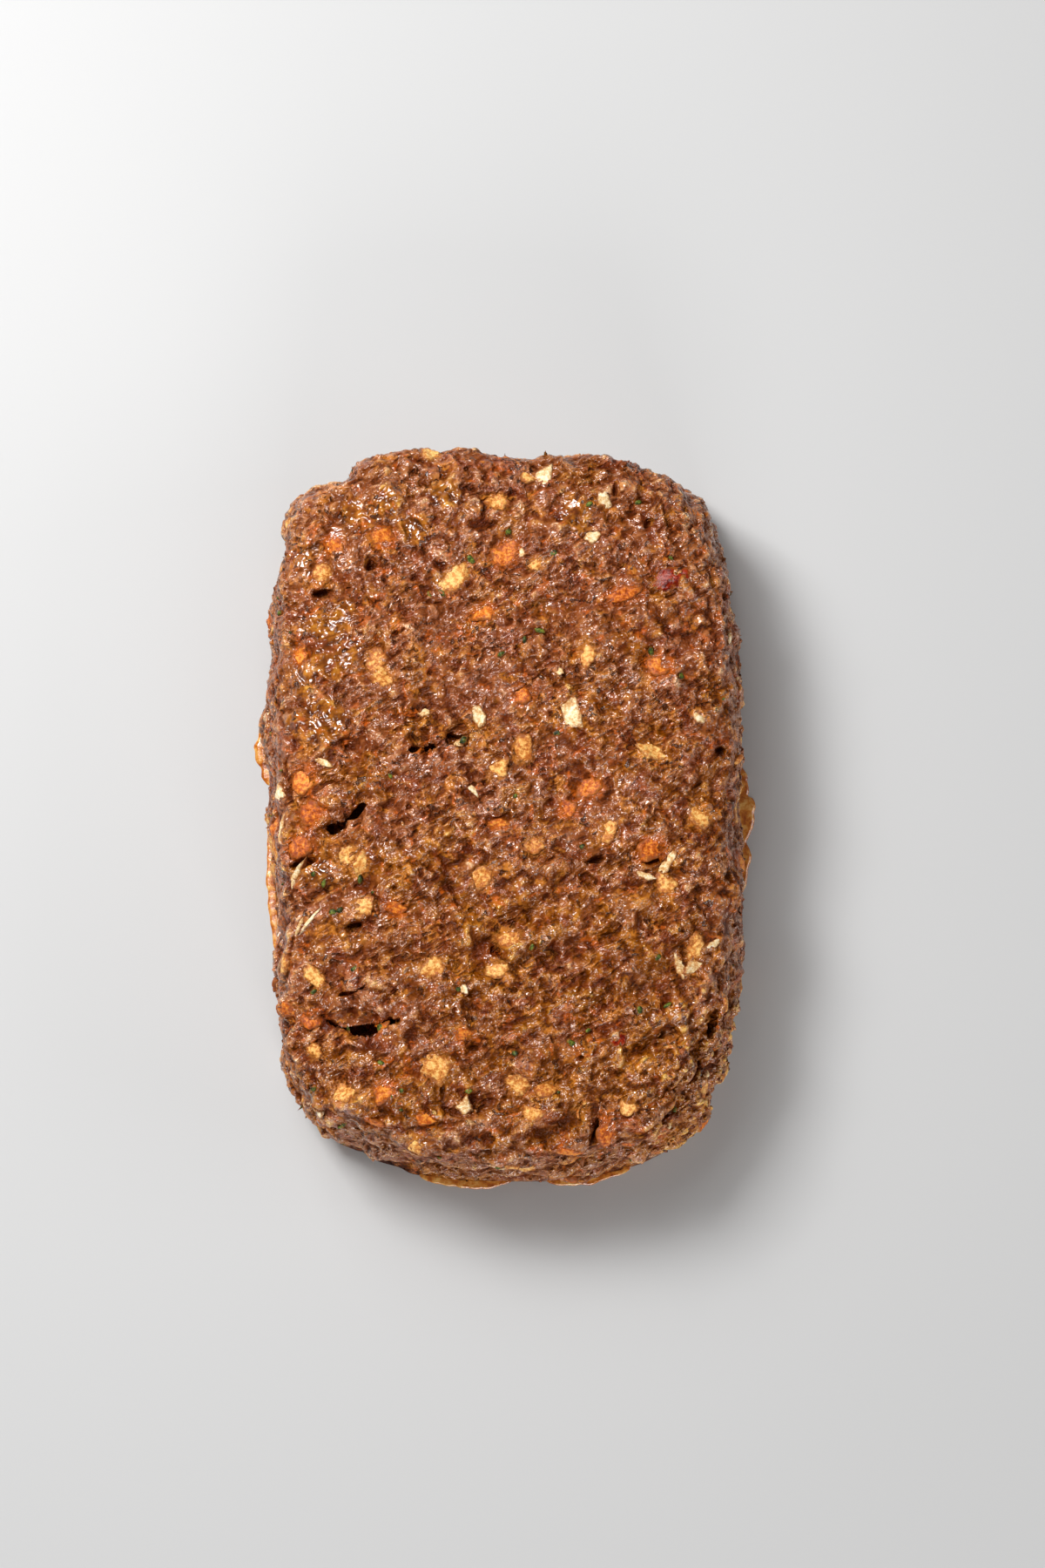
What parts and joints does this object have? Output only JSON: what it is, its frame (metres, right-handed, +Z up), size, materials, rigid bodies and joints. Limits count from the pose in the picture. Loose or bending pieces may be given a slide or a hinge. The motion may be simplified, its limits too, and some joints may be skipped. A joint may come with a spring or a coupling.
{
  "type": "meatloaf",
  "caption": "Free-form baked meatloaf with a low domed top, rounded shoulders, steep sides and a flat underside it rests on.",
  "frame": {"origin": "on the underside, in the middle of the loaf's box", "axes": "+Z up from the flat underside, +Y along the loaf's long way towards its squarer end, +X across"},
  "size_m": [0.149, 0.225, 0.052],
  "materials": {
    "meat": "moist browned ground meat",
    "bread": "toasted chopped bread",
    "carrot": "cooked chopped carrot",
    "onion": "cooked chopped onion",
    "herb": "dried green herb",
    "juice": "set meat juice and fat"
  },
  "bodies": {
    "root": {"loaf": "meat"}
  },
  "joints": []
}
